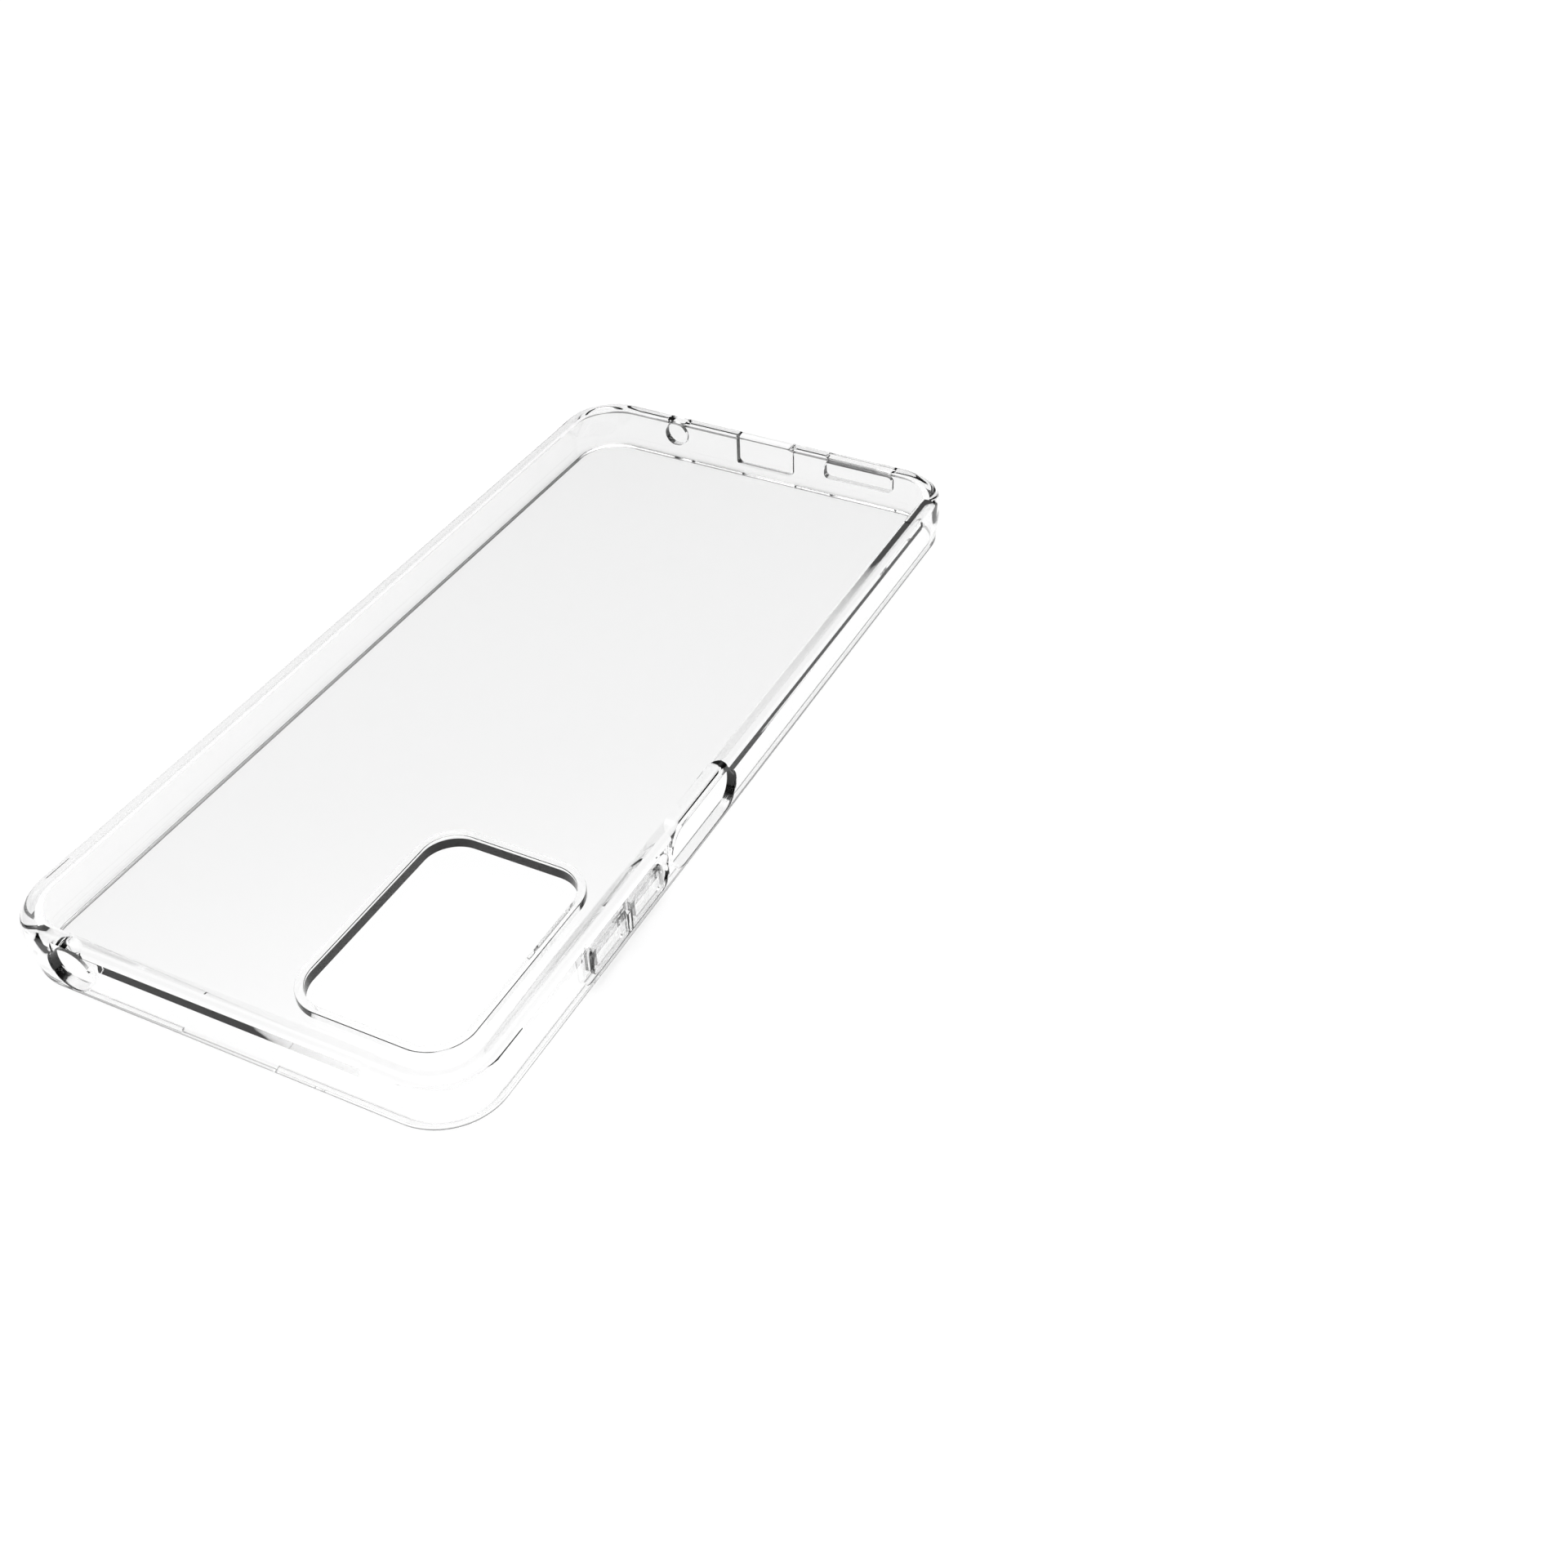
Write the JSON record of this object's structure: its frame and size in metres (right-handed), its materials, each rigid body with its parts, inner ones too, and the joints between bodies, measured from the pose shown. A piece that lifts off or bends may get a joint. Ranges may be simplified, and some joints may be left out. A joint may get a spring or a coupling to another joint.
{
  "type": "phone case",
  "caption": "Clear rigid-back phone case with a soft faceted bumper frame, raised camera guard, wall openings for ports and spring-back volume keys.",
  "frame": {"origin": "middle of the plane of the front rim, the side the phone's screen looks out of; the case rests on it back-up", "axes": "+Z out of the back, +Y towards the camera end, +X across, away from the keys, which are on the -X wall"},
  "size_m": [0.0788, 0.1674, 0.011],
  "materials": {
    "clear_panel": "clear, colourless, polished hard plastic",
    "clear_frame": "clear, colourless, polished soft plastic",
    "clear_guard": "clear, colourless, polished plastic",
    "clear_key": "clear plastic with a fine grained face"
  },
  "bodies": {
    "case_body": {"bumper_frame": "clear_frame", "back_panel": "clear_panel", "camera_guard_ring": "clear_guard"},
    "volume_up": {"volume_up_key": "clear_key"},
    "volume_down": {"volume_down_key": "clear_key"}
  },
  "joints": [
    {"name": "volume_up_press", "type": "slide", "parent": "case_body", "child": "volume_up", "axis": [1, 0, 0], "range_m": [0, 0.00035], "stiffness_N_per_m": 1500},
    {"name": "volume_down_press", "type": "slide", "parent": "case_body", "child": "volume_down", "axis": [1, 0, 0], "range_m": [0, 0.00035], "stiffness_N_per_m": 1500}
  ]
}
